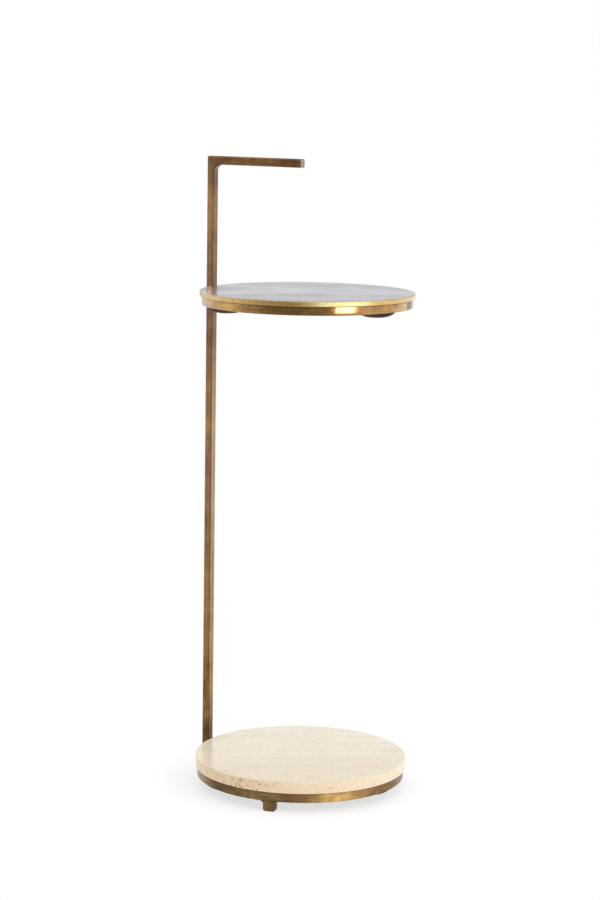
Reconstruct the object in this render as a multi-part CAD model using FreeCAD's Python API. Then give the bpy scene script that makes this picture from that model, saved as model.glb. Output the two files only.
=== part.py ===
import FreeCAD, Part
import math
import os

# Wine table: a square post beside two round discs, bent over into a handle arm.
# Lengths are millimetres and angles degrees. Z is up and the floor is Z = 0.
# Pieces are drawn about the axis of the two discs, with the post on -X and the arm towards +X.

# Whole table
TABLE_HEIGHT = 740.0
TOP_HEIGHT = 588.0
DISC_DIAMETER = 250.0

# Square bar of the post and the handle arm
BAR_SIZE = 10.0
BAR_EDGE_RADIUS = 1.8
ARM_LENGTH = 127.0
ELBOW_RADIUS = 2.4
ELBOW_WELD_RADIUS = 7.5
POST_CLEARANCE = 0.5

# Round plate on top
PLATE_THICKNESS = 6.0
PLATE_RIM_RADIUS = 0.7
BOSS_DIAMETER = 14.0
BOSS_GAP = 8.5

# Round stone in the base
STONE_THICKNESS = 13.5
STONE_RIM_RADIUS = 1.2

# Rolled rings that carry the plate and the stone
RING_INSET = 2.5
RING_WALL = 8.0
TOP_RING_HEIGHT = 10.0
BASE_RING_HEIGHT = 11.0
RING_EDGE_RADIUS = 0.5

# Feet under the base ring
FOOT_COUNT = 3
FOOT_START_ANGLE = -77.1
FOOT_HEIGHT = 12.0
FOOT_NECK_WIDTH = 14.6
FOOT_TOE_WIDTH = 14.4
FOOT_FLARE = 3.2
FOOT_FLARE_LIP = 0.4
FOOT_TOE_RADIUS = 2.6

# Domed discs that clamp the plate and the stone down on their rings
CLAMP_COUNT = 3
TOP_CLAMP_START_ANGLE = -8.4
BASE_CLAMP_START_ANGLE = -3.0
CLAMP_THICKNESS = 6.4
CLAMP_RIM_HEIGHT = 1.5
CLAMP_FLAT_DIAMETER = 15.5
CLAMP_INSET = 2.2

# Screws, washers, sleeves and inserts
SCREW_DIAMETER = 5.0
TOP_SCREW_REACH = 8.0
SCREW_HEAD_DIAMETER = 9.0
SCREW_HEAD_HEIGHT = 1.8
SOCKET_SIDES = 6
SOCKET_WIDTH = 3.0
SOCKET_DEPTH = 1.2
WASHER_DIAMETER = 10.5
WASHER_THICKNESS = 0.7
SPACER_DIAMETER = 12.0
INSERT_DIAMETER = 9.0
INSERT_LENGTH = 9.0
BORE_CLEARANCE = 0.2
THREAD_CLEARANCE = 0.1
BOND_GAP = 0.1
TIP_CLEARANCE = 0.6

# One overrun for every cutting tool
OVERRUN = 2.0

# Levels above the floor
BASE_RING_TOP = FOOT_HEIGHT + BASE_RING_HEIGHT
TOP_RING_TOP = TOP_HEIGHT - PLATE_THICKNESS
TOP_RING_BOTTOM = TOP_RING_TOP - TOP_RING_HEIGHT

# Places across the table
RIM_RADIUS = DISC_DIAMETER / 2
RING_RADIUS = RIM_RADIUS - RING_INSET
RING_DIAMETER = 2 * RING_RADIUS
POST_INNER_FACE = RIM_RADIUS + POST_CLEARANCE
POST_OUTER_FACE = POST_INNER_FACE + BAR_SIZE
CLAMP_CIRCLE_RADIUS = RING_RADIUS - RING_WALL - BOSS_GAP - BOSS_DIAMETER / 2
CLAMP_RADIUS = RING_RADIUS - CLAMP_INSET - CLAMP_CIRCLE_RADIUS
CLAMP_RECESS_DEPTH = WASHER_THICKNESS + SCREW_HEAD_HEIGHT
CLAMP_SEAT = CLAMP_THICKNESS - CLAMP_RECESS_DEPTH

# The disc axis stands this far from the middle of the footprint, which is the origin
AXIS_OFFSET = FreeCAD.Vector((POST_OUTER_FACE - RIM_RADIUS) / 2, 0, 0)

UP = FreeCAD.Vector(0, 0, 1)
ALONG_Y = FreeCAD.Vector(0, 1, 0)
ORIGIN = FreeCAD.Vector(0, 0, 0)
FULL_TURN = 360.0

# How far the middle of a quarter round stands in from the corner that it rounds, as a share of its radius
ROUND_MIDDLE_SHARE = 1 - math.sqrt(0.5)


def in_xz(x, z):
    """A point in the plane of the post and the arm."""
    return FreeCAD.Vector(x, 0, z)


def in_yz(y, z):
    """A point in the plane across a radius."""
    return FreeCAD.Vector(0, y, z)


def cylinder(diameter, height, bottom):
    """An upright cylinder about the axis, standing at the level called bottom."""
    return Part.makeCylinder(diameter / 2, height, FreeCAD.Vector(0, 0, bottom), UP)


def tube(outer_diameter, inner_diameter, height, bottom):
    """An upright tube about the axis."""
    bore = cylinder(inner_diameter, height + 2 * OVERRUN, bottom - OVERRUN)
    return cylinder(outer_diameter, height, bottom).cut(bore)


def closed_face(edges):
    """A flat face inside a closed chain of lines and arcs."""
    return Part.Face(Part.Wire([edge.toShape() for edge in edges]))


def polyline(points):
    """Straight segments through the points, in order."""
    return [Part.LineSegment(a, b) for a, b in zip(points, points[1:])]


def level_edges(shape, level):
    """The edges of a shape that lie flat at one height."""
    close = Part.Precision.confusion()
    spans = [(edge, edge.BoundBox.ZMin - level, edge.BoundBox.ZMax - level) for edge in shape.Edges]
    return [edge for edge, low, high in spans if max(abs(low), abs(high)) < close]


def turned(shape, angle):
    """A copy of a shape turned about the axis."""
    copy = shape.copy()
    copy.rotate(ORIGIN, UP, angle)
    return copy


def pattern(shape, count, start_angle):
    """Copies of a shape, evenly spaced about the axis."""
    return [turned(shape, start_angle + FULL_TURN * i / count) for i in range(count)]


def moved_out(shape, radius):
    """A copy of a shape moved out along +X."""
    copy = shape.copy()
    copy.translate(FreeCAD.Vector(radius, 0, 0))
    return copy


def write(name, *solids):
    """Exports the solids of one node, set off from the footprint's middle."""
    shape = solids[0].copy() if len(solids) == 1 else Part.makeCompound(list(solids))
    shape.translate(AXIS_OFFSET)
    shape.exportStep(os.path.join("parts", name + ".step"))


def elbow_profile():
    """The outline of post and arm together, rounded outside the elbow and filled inside it."""
    back = -POST_OUTER_FACE
    front = -POST_INNER_FACE
    tip = back + ARM_LENGTH
    under = TABLE_HEIGHT - BAR_SIZE
    foot_of_post = [in_xz(front, FOOT_HEIGHT), in_xz(back, FOOT_HEIGHT)]
    outer_start = in_xz(back, TABLE_HEIGHT - ELBOW_RADIUS)
    outer_end = in_xz(back + ELBOW_RADIUS, TABLE_HEIGHT)
    outer_in = ELBOW_RADIUS * ROUND_MIDDLE_SHARE
    outer_arc = Part.Arc(outer_start, in_xz(back + outer_in, TABLE_HEIGHT - outer_in), outer_end)
    end_of_arm = [in_xz(tip, TABLE_HEIGHT), in_xz(tip, under)]
    inner_start = in_xz(front + ELBOW_WELD_RADIUS, under)
    inner_end = in_xz(front, under - ELBOW_WELD_RADIUS)
    inner_in = ELBOW_WELD_RADIUS * ROUND_MIDDLE_SHARE
    inner_arc = Part.Arc(inner_start, in_xz(front + inner_in, under - inner_in), inner_end)
    return closed_face(
        polyline(foot_of_post + [outer_start])
        + [outer_arc]
        + polyline([outer_end] + end_of_arm + [inner_start])
        + [inner_arc]
        + polyline([inner_end, foot_of_post[0]])
    )


def elbow_bar():
    """Post and arm as one bar of square section, with its long edges and the arm's end rounded."""
    face = elbow_profile()
    face.translate(FreeCAD.Vector(0, -BAR_SIZE / 2, 0))
    bar = face.extrude(ALONG_Y * BAR_SIZE)
    near_tip = ARM_LENGTH - POST_OUTER_FACE - OVERRUN
    sides = [e for e in bar.Edges if e.BoundBox.YLength < BAR_SIZE / 2]
    ends = [e for e in bar.Edges if e.BoundBox.YLength > BAR_SIZE / 2 and e.BoundBox.XMin > near_tip]
    return bar.makeFillet(BAR_EDGE_RADIUS, sides + ends)


def mitre_tool():
    """Everything on the arm's side of the mitre through the elbow."""
    back = -POST_OUTER_FACE
    reach = BAR_SIZE + ELBOW_WELD_RADIUS + OVERRUN
    end = back + ARM_LENGTH + OVERRUN
    outline = [
        in_xz(back - OVERRUN, TABLE_HEIGHT + OVERRUN),
        in_xz(back + reach, TABLE_HEIGHT - reach),
        in_xz(end, TABLE_HEIGHT - reach),
        in_xz(end, TABLE_HEIGHT + OVERRUN),
        in_xz(back - OVERRUN, TABLE_HEIGHT + OVERRUN),
    ]
    face = closed_face(polyline(outline))
    face.translate(FreeCAD.Vector(0, -BAR_SIZE / 2 - OVERRUN, 0))
    return face.extrude(ALONG_Y * (BAR_SIZE + 2 * OVERRUN))


def post_and_arm():
    """The two bars that meet at the mitre."""
    bar = elbow_bar()
    tool = mitre_tool()
    return bar.cut(tool), bar.common(tool)


def rolled_ring(height, bottom):
    """A bar rolled into a ring, with eased edges."""
    ring = tube(RING_DIAMETER, RING_DIAMETER - 2 * RING_WALL, height, bottom)
    rims = level_edges(ring, bottom) + level_edges(ring, bottom + height)
    return ring.makeFillet(RING_EDGE_RADIUS, rims)


def weld_lug(height, bottom):
    """A block as wide as the flat of the post, hollowed to sit on the ring."""
    width = BAR_SIZE - 2 * BAR_EDGE_RADIUS
    seat = math.sqrt(RING_RADIUS**2 - (width / 2) ** 2)
    length = POST_INNER_FACE - seat
    edge = RING_EDGE_RADIUS
    block = Part.makeBox(
        length, width, height - 2 * edge, FreeCAD.Vector(-POST_INNER_FACE, -width / 2, bottom + edge)
    )
    return block.cut(cylinder(RING_DIAMETER, height, bottom))


def eased_disc(thickness, bottom, rim_radius):
    """A round slab with both rim edges rounded."""
    slab = cylinder(DISC_DIAMETER, thickness, bottom)
    rims = level_edges(slab, bottom) + level_edges(slab, bottom + thickness)
    return slab.makeFillet(rim_radius, rims)


def top_plate():
    """The plate, with bosses cast under it that reach down to the clamp discs."""
    plate = eased_disc(PLATE_THICKNESS, TOP_RING_TOP, PLATE_RIM_RADIUS)
    boss = moved_out(cylinder(BOSS_DIAMETER, TOP_RING_HEIGHT, TOP_RING_BOTTOM), CLAMP_CIRCLE_RADIUS)
    depth = TOP_SCREW_REACH + TIP_CLEARANCE
    hole = cylinder(SCREW_DIAMETER + 2 * THREAD_CLEARANCE, depth, TOP_RING_BOTTOM)
    holes = pattern(moved_out(hole, CLAMP_CIRCLE_RADIUS), CLAMP_COUNT, TOP_CLAMP_START_ANGLE)
    return plate.fuse(pattern(boss, CLAMP_COUNT, TOP_CLAMP_START_ANGLE)).cut(holes).removeSplitter()


def base_stone():
    """The stone, drilled from below for the bonded inserts."""
    stone = eased_disc(STONE_THICKNESS, BASE_RING_TOP, STONE_RIM_RADIUS)
    hole = cylinder(INSERT_DIAMETER + 2 * BOND_GAP, INSERT_LENGTH, BASE_RING_TOP)
    return stone.cut(pattern(moved_out(hole, CLAMP_CIRCLE_RADIUS), CLAMP_COUNT, BASE_CLAMP_START_ANGLE))


def clamp_disc(top):
    """A domed disc with a bore and a recess for its screw, hung under the level called top."""
    rim = CLAMP_RADIUS
    flat = CLAMP_FLAT_DIAMETER / 2
    recess = WASHER_DIAMETER / 2 + BORE_CLEARANCE
    bore = SCREW_DIAMETER / 2 + BORE_CLEARANCE
    foot = top - CLAMP_THICKNESS
    shoulder = top - CLAMP_RIM_HEIGHT
    drop = shoulder - foot
    dome_radius = ((rim - flat) ** 2 + drop**2) / (2 * drop)
    half_angle = math.asin((rim - flat) / dome_radius) / 2
    dome_mid = in_xz(
        flat + dome_radius * math.sin(half_angle), foot + dome_radius * (1 - math.cos(half_angle))
    )
    inside = polyline(
        [
            in_xz(rim, shoulder),
            in_xz(rim, top),
            in_xz(bore, top),
            in_xz(bore, top - CLAMP_SEAT),
            in_xz(recess, top - CLAMP_SEAT),
            in_xz(recess, foot),
            in_xz(flat, foot),
        ]
    )
    dome = Part.Arc(in_xz(flat, foot), dome_mid, in_xz(rim, shoulder))
    disc = closed_face(inside + [dome]).revolve(ORIGIN, UP, FULL_TURN)
    return moved_out(disc, CLAMP_CIRCLE_RADIUS)


def washer(clamp_top):
    """A flat washer against the floor of a clamp disc's recess."""
    bottom = clamp_top - CLAMP_SEAT - WASHER_THICKNESS
    bore = SCREW_DIAMETER + 2 * BORE_CLEARANCE
    return moved_out(tube(WASHER_DIAMETER, bore, WASHER_THICKNESS, bottom), CLAMP_CIRCLE_RADIUS)


def screw(clamp_top, thread_top):
    """A low-headed screw with a socket, from a clamp disc up to the end of its thread."""
    foot = clamp_top - CLAMP_THICKNESS
    head_top = foot + SCREW_HEAD_HEIGHT
    head = cylinder(SCREW_HEAD_DIAMETER, SCREW_HEAD_HEIGHT, foot)
    shank = cylinder(SCREW_DIAMETER, thread_top - head_top, head_top)
    corner = SOCKET_WIDTH / 2 / math.cos(math.pi / SOCKET_SIDES)
    angles = [math.radians(FULL_TURN * i / SOCKET_SIDES) for i in range(SOCKET_SIDES + 1)]
    outline = [FreeCAD.Vector(corner * math.cos(a), corner * math.sin(a), foot) for a in angles]
    socket = closed_face(polyline(outline)).extrude(UP * SOCKET_DEPTH)
    return moved_out(head.fuse(shank).cut(socket).removeSplitter(), CLAMP_CIRCLE_RADIUS)


def stone_insert():
    """A threaded insert, flush with the underside of the stone."""
    bore = SCREW_DIAMETER + 2 * THREAD_CLEARANCE
    return moved_out(tube(INSERT_DIAMETER, bore, INSERT_LENGTH, BASE_RING_TOP), CLAMP_CIRCLE_RADIUS)


def stone_spacer():
    """A sleeve between the stone and a clamp disc, as long as the ring is high."""
    bore = SCREW_DIAMETER + 2 * BORE_CLEARANCE
    return moved_out(tube(SPACER_DIAMETER, bore, BASE_RING_HEIGHT, FOOT_HEIGHT), CLAMP_CIRCLE_RADIUS)


def foot_side(side):
    """One flank of a foot's outline, from the ring down to the sole; side is 1 or -1."""
    neck = side * FOOT_NECK_WIDTH / 2
    toe = side * FOOT_TOE_WIDTH / 2
    flare = side * FOOT_FLARE
    round_over = side * FOOT_TOE_RADIUS
    lip = FOOT_HEIGHT - FOOT_FLARE_LIP
    brow = in_yz(neck + flare, lip)
    flare_middle = in_yz(neck + flare * ROUND_MIDDLE_SHARE, lip - FOOT_FLARE * ROUND_MIDDLE_SHARE)
    collar = in_yz(neck, lip - FOOT_FLARE)
    toe_start = in_yz(toe, FOOT_TOE_RADIUS)
    toe_middle = in_yz(toe - round_over * ROUND_MIDDLE_SHARE, FOOT_TOE_RADIUS * ROUND_MIDDLE_SHARE)
    sole = in_yz(toe - round_over, 0)
    return (
        polyline([in_yz(0, FOOT_HEIGHT), in_yz(neck + flare, FOOT_HEIGHT), brow])
        + [Part.Arc(brow, flare_middle, collar)]
        + polyline([collar, toe_start])
        + [Part.Arc(toe_start, toe_middle, sole)]
        + polyline([sole, in_yz(0, 0)])
    )


def foot_profile():
    """The front of a foot: a flared neck that narrows to a toe with rounded corners."""
    edges = [edge.toShape() for edge in foot_side(1) + foot_side(-1)]
    return Part.Face(Part.Wire(Part.sortEdges(edges)[0]))


def foot():
    """A foot cut to the curve of the ring above it, on +X."""
    block = foot_profile().extrude(FreeCAD.Vector(RING_RADIUS + OVERRUN, 0, 0))
    return block.common(tube(RING_DIAMETER, RING_DIAMETER - 2 * RING_WALL, FOOT_HEIGHT, 0)).removeSplitter()


def write_numbered(name, solids):
    """Exports each copy of a repeated piece as a node of its own."""
    for number, solid in enumerate(solids, 1):
        write(f"{name}_{number}", solid)


def frame():
    """The welded bars: post, arm, rings, lugs and feet."""
    post, arm = post_and_arm()
    write("post", post)
    write("handle_arm", arm)
    write("top_ring", rolled_ring(TOP_RING_HEIGHT, TOP_RING_BOTTOM))
    write("base_ring", rolled_ring(BASE_RING_HEIGHT, FOOT_HEIGHT))
    write("top_lug", weld_lug(TOP_RING_HEIGHT, TOP_RING_BOTTOM))
    write("base_lug", weld_lug(BASE_RING_HEIGHT, FOOT_HEIGHT))
    write_numbered("foot", pattern(foot(), FOOT_COUNT, FOOT_START_ANGLE))


def top():
    """The plate and what clamps it to its ring."""
    start = TOP_CLAMP_START_ANGLE
    write("top_plate", top_plate())
    write_numbered("top_clamp_disc", pattern(clamp_disc(TOP_RING_BOTTOM), CLAMP_COUNT, start))
    write("top_washers", *pattern(washer(TOP_RING_BOTTOM), CLAMP_COUNT, start))
    thread_top = TOP_RING_BOTTOM + TOP_SCREW_REACH
    write("top_screws", *pattern(screw(TOP_RING_BOTTOM, thread_top), CLAMP_COUNT, start))


def base():
    """The stone and what clamps it to its ring."""
    start = BASE_CLAMP_START_ANGLE
    write("base_stone", base_stone())
    write_numbered("base_clamp_disc", pattern(clamp_disc(FOOT_HEIGHT), CLAMP_COUNT, start))
    write("stone_inserts", *pattern(stone_insert(), CLAMP_COUNT, start))
    write("stone_spacers", *pattern(stone_spacer(), CLAMP_COUNT, start))
    write("base_washers", *pattern(washer(FOOT_HEIGHT), CLAMP_COUNT, start))
    thread_top = BASE_RING_TOP + INSERT_LENGTH - TIP_CLEARANCE
    write("base_screws", *pattern(screw(FOOT_HEIGHT, thread_top), CLAMP_COUNT, start))


def main():
    """Builds every node."""
    os.makedirs("parts", exist_ok=True)
    frame()
    top()
    base()


main()
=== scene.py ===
import logging
import math
from dataclasses import dataclass
from enum import Enum

import bmesh
import bpy
from mathutils import Matrix, Vector


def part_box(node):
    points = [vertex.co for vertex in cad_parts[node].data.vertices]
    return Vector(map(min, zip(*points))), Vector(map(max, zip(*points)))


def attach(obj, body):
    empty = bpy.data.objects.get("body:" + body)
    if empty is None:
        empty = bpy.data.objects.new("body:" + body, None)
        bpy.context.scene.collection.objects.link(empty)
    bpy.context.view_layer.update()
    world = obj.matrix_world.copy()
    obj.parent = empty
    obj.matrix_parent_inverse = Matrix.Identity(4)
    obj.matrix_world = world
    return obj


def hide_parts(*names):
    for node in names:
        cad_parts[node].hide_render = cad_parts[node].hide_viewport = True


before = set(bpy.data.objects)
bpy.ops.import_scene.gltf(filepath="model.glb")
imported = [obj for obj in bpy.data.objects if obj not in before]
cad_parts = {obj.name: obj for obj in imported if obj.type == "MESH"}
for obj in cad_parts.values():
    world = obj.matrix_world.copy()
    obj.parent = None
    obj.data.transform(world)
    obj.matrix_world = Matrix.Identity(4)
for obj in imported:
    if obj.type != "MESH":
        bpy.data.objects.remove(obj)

LOG = logging.getLogger("wine_table")
BODY = "root"
MILLIMETRE = 0.001
VEIN_TURN = math.radians(29.5)

Colour = tuple[float, float, float, float]
Pair = tuple[float, float]
Triple = tuple[float, float, float]
Socket = bpy.types.NodeSocket
Feed = Socket | float | tuple[float, ...] | Vector
Feeds = dict[str | int, Feed]
Size = float | int | Vector | bpy.types.Material

WHITE: Colour = (1.0, 1.0, 1.0, 1.0)
ORIGIN: Triple = (0.0, 0.0, 0.0)
POST = ("post",)
PLATE = ("top_plate",)
TOP_RING = ("top_ring",)
RINGS = ("top_ring", "base_ring")
TOP_METAL = ("top_plate", "top_ring")
LOW_METAL = ("base_ring", "foot_1", "foot_2", "foot_3")


def srgb(red: int, green: int, blue: int) -> Colour:
    """Turns a screen colour into the linear colour that shaders take.

    Args:
        red: Red from 0 to 255, or more in a tone that brightens what it multiplies.
        green: Green, likewise.
        blue: Blue, likewise.

    Returns:
        The linear colour, with full alpha.
    """

    def linear(level: int) -> float:
        """One channel of the linear colour."""
        share = level / 255
        return share / 12.92 if share <= 0.04045 else ((share + 0.055) / 1.055) ** 2.4

    return linear(red), linear(green), linear(blue), 1.0


@dataclass(frozen=True)
class Stretch:
    """Another tone: full near a height, an angle or a line, and none past a distance from it."""

    at: float
    full: float
    none: float
    colour: Colour

    @classmethod
    def turned(cls, at: float, full: float, none: float, colour: Colour) -> "Stretch":
        """A stretch round an axis, with its angles in degrees."""
        return cls(math.radians(at), math.radians(full), math.radians(none), colour)


class Graph:
    """Adds nodes to one tree and links them."""

    def __init__(self, tree: bpy.types.NodeTree) -> None:
        """Starts with an empty tree."""
        self.tree = tree
        tree.nodes.clear()

    def wire(self, node: bpy.types.Node, feeds: Feeds) -> None:
        """Feeds a node's inputs.

        Args:
            node: The node.
            feeds: A socket to link or a value to set for each input, by name or place.
        """
        for name, feed in feeds.items():
            if isinstance(feed, bpy.types.NodeSocket):
                self.tree.links.new(feed, node.inputs[name])
            else:
                node.inputs[name].default_value = feed

    def add(self, kind: str, feeds: Feeds | None = None, **settings: str | int) -> bpy.types.Node:
        """Adds one node.

        Args:
            kind: The node's type name.
            feeds: A socket or a value for each input, by name or place.
            settings: Properties to set before the inputs are fed.

        Returns:
            The new node.
        """
        node = self.tree.nodes.new(kind)
        for name, value in settings.items():
            setattr(node, name, value)
        self.wire(node, feeds or {})
        return node

    def math(self, operation: str, first: Feed, second: Feed = 0.0) -> Socket:
        """A sum of two values, or another operation on them."""
        return self.add("ShaderNodeMath", {0: first, 1: second}, operation=operation).outputs[0]

    def plus(self, first: Feed, second: Socket, share: float) -> Socket:
        """A value and a share of another, added up."""
        return self.math("ADD", first, self.math("MULTIPLY", second, share))

    def vector(self, operation: str, first: Feed, second: Feed = ORIGIN) -> Socket:
        """A sum of two vectors, or another operation on them."""
        return self.add("ShaderNodeVectorMath", {0: first, 1: second}, operation=operation).outputs[0]

    def measure(self, operation: str, first: Feed, second: Feed = ORIGIN) -> Socket:
        """A length, a distance or a dot product of vectors."""
        return self.add("ShaderNodeVectorMath", {0: first, 1: second}, operation=operation).outputs["Value"]

    def part(self, vector: Socket, letter: str) -> Socket:
        """A vector's part along X, Y or Z."""
        return self.add("ShaderNodeSeparateXYZ", {0: vector}).outputs[letter]

    def triple(self, along: Feed, across: Feed, deep: Feed) -> Socket:
        """A vector from three values."""
        return self.add("ShaderNodeCombineXYZ", {"X": along, "Y": across, "Z": deep}).outputs[0]

    def scaled(self, vector: Socket, scale: Triple, turn: Feed = 0.0) -> Socket:
        """Turns coordinates about Z and then stretches them.

        Args:
            vector: The coordinates.
            scale: How much they stretch along each axis.
            turn: The angle of the turn.

        Returns:
            The new coordinates.
        """
        feeds = {"Vector": vector, "Angle": turn}
        turned = self.add("ShaderNodeVectorRotate", feeds, rotation_type="Z_AXIS").outputs[0]
        return self.vector("MULTIPLY", turned, scale)

    def outwards(self, point: Socket, axis: Vector) -> Socket:
        """The level line from an upright axis to a point."""
        return self.vector("MULTIPLY", self.vector("SUBTRACT", point, axis), (1.0, 1.0, 0.0))

    def angle(self, point: Socket, axis: Vector) -> Socket:
        """A point's angle round an upright axis."""
        centred = self.vector("SUBTRACT", point, axis)
        return self.math("ARCTAN2", self.part(centred, "Y"), self.part(centred, "X"))

    def noise(self, vector: Socket, scale: float, detail: float = 3.0, rough: float = 0.5) -> Socket:
        """Cloudy noise from 0 to 1."""
        feeds = {"Vector": vector, "Scale": scale, "Detail": detail, "Roughness": rough}
        return self.add("ShaderNodeTexNoise", feeds).outputs[0]

    def fit(
        self, value: Socket, low: float, high: float, to_low: float = 0.0, to_high: float = 1.0
    ) -> Socket:
        """Maps a value from one range to another, and stops at its ends."""
        feeds = {"Value": value, "From Min": low, "From Max": high, "To Min": to_low, "To Max": to_high}
        return self.add("ShaderNodeMapRange", feeds).outputs[0]

    def between(self, share: Socket, first: Feed, second: Feed) -> Socket:
        """Mixes two values."""
        return self.add("ShaderNodeMix", {0: share, 2: first, 3: second}).outputs[0]

    def mix(self, share: Feed, first: Feed, second: Feed, blend: str = "MIX") -> Socket:
        """Mixes two colours."""
        feeds = {0: share, 6: first, 7: second}
        return self.add("ShaderNodeMix", feeds, data_type="RGBA", blend_type=blend).outputs[2]

    def near(self, measure: Socket, stretch: Stretch) -> Socket:
        """How far a measure lies in a stretch, from 0 to 1."""
        away = self.math("ABSOLUTE", self.math("SUBTRACT", measure, stretch.at))
        return self.fit(away, stretch.none, stretch.full)

    def toned(self, colour: Socket, measure: Socket, stretches: tuple[Stretch, ...]) -> Socket:
        """Multiplies a colour by the tone of each stretch.

        Args:
            colour: The colour to start from.
            measure: The height, angle or distance that the stretches go by.
            stretches: The stretches.

        Returns:
            The toned colour.
        """
        for stretch in stretches:
            colour = self.mix(self.near(measure, stretch), colour, stretch.colour, "MULTIPLY")
        return colour

    def ramp(self, value: Socket, stops: tuple[tuple[float, Colour], ...]) -> Socket:
        """Lays colours along a value from 0 to 1.

        Args:
            value: The value.
            stops: The place and the colour of each stop.

        Returns:
            The colour at the value.
        """
        node = self.add("ShaderNodeValToRGB", {0: value})
        elements = node.color_ramp.elements
        while len(elements) < len(stops):
            elements.new(1.0)
        for element, (place_on_ramp, colour) in zip(elements, stops):
            element.position = place_on_ramp
            element.color = colour
        return node.outputs[0]

    def bump(
        self, height: Socket, depth: float, strength: float = 1.0, over: Socket | None = None
    ) -> Socket:
        """Makes a normal from a height.

        Args:
            height: The height as a share of the depth.
            depth: The depth in metres.
            strength: How much of the relief shows.
            over: Another normal to lay the relief over, if any.

        Returns:
            The normal.
        """
        feeds = {"Height": height, "Distance": depth, "Strength": strength}
        if over is not None:
            feeds["Normal"] = over
        return self.add("ShaderNodeBump", feeds).outputs[0]


class Recipe(Graph):
    """A Geometry Nodes tree with named sizes, run once on one mesh."""

    kinds = {
        float: "NodeSocketFloat",
        int: "NodeSocketInt",
        Vector: "NodeSocketVector",
        bpy.types.Material: "NodeSocketMaterial",
    }

    def __init__(self, name: str, sizes: dict[str, Size]) -> None:
        """Starts a tree.

        Args:
            name: The tree's name.
            sizes: The value of each input, by the input's name.
        """
        super().__init__(bpy.data.node_groups.new(name, "GeometryNodeTree"))
        sockets = self.tree.interface
        sockets.new_socket("Geometry", in_out="INPUT", socket_type="NodeSocketGeometry")
        self.sizes: dict[str, Size] = {}
        for label, size in sizes.items():
            socket = sockets.new_socket(label, in_out="INPUT", socket_type=self.kinds[type(size)])
            self.sizes[socket.identifier] = size
        sockets.new_socket("Geometry", in_out="OUTPUT", socket_type="NodeSocketGeometry")
        self.given = self.add("NodeGroupInput").outputs

    def draw(self, low: float, high: float) -> Socket:
        """A random value for each point, from the tree's own seed."""
        feeds = {2: low, 3: high, "Seed": self.given["Seed"]}
        return self.add("FunctionNodeRandomValue", feeds, data_type="FLOAT").outputs[1]

    def copies(self, points: Socket, instance: Socket, feeds: Feeds | None = None) -> Socket:
        """A copy of a shape at each point."""
        placed = {"Points": points, "Instance": instance, **(feeds or {})}
        return self.add("GeometryNodeInstanceOnPoints", placed).outputs[0]

    def finish(self, geometry: Socket) -> None:
        """Ends the tree in one plain mesh in the given material.

        Args:
            geometry: What the tree made.
        """
        plain = self.add("GeometryNodeRealizeInstances", {0: geometry}).outputs[0]
        feeds = {"Geometry": plain, "Material": self.given["Material"]}
        self.add("NodeGroupOutput", {0: self.add("GeometryNodeSetMaterial", feeds).outputs[0]})

    def run(self, piece: bpy.types.Object, sharp: float) -> None:
        """Turns a piece into what the tree makes of it.

        Args:
            piece: The object to work on.
            sharp: The angle past which an edge is sharp.
        """
        modifier = piece.modifiers.new(self.tree.name, "NODES")
        modifier.node_group = self.tree
        for identifier, size in self.sizes.items():
            modifier[identifier] = size
        depsgraph = bpy.context.evaluated_depsgraph_get()
        mesh = bpy.data.meshes.new_from_object(piece.evaluated_get(depsgraph), depsgraph=depsgraph)
        piece.modifiers.clear()
        piece.data = mesh
        mesh.shade_smooth()
        mesh.set_sharp_from_angle(angle=sharp)
        LOG.info("built %s with %d faces", piece.name, len(mesh.polygons))


def shader(name: str) -> tuple[bpy.types.Material, Graph, bpy.types.Node]:
    """Starts a material.

    Args:
        name: The material's name.

    Returns:
        The material, its graph and its Principled shader.
    """
    material = bpy.data.materials.new(name)
    material.use_nodes = True
    graph = Graph(material.node_tree)
    surface = graph.add("ShaderNodeBsdfPrincipled")
    graph.add("ShaderNodeOutputMaterial", {"Surface": surface.outputs[0]})
    return material, graph, surface


def place(graph: Graph) -> Socket:
    """The point on the piece, in metres."""
    return graph.add("ShaderNodeTexCoord").outputs["Object"]


def facing(graph: Graph) -> Socket:
    """The way that the surface faces."""
    return graph.add("ShaderNodeNewGeometry").outputs["Normal"]


class Grain(Enum):
    """The way that a bar was brushed."""

    UPRIGHT = "upright"
    LEVEL = "level"
    ROUND = "round"


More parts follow.
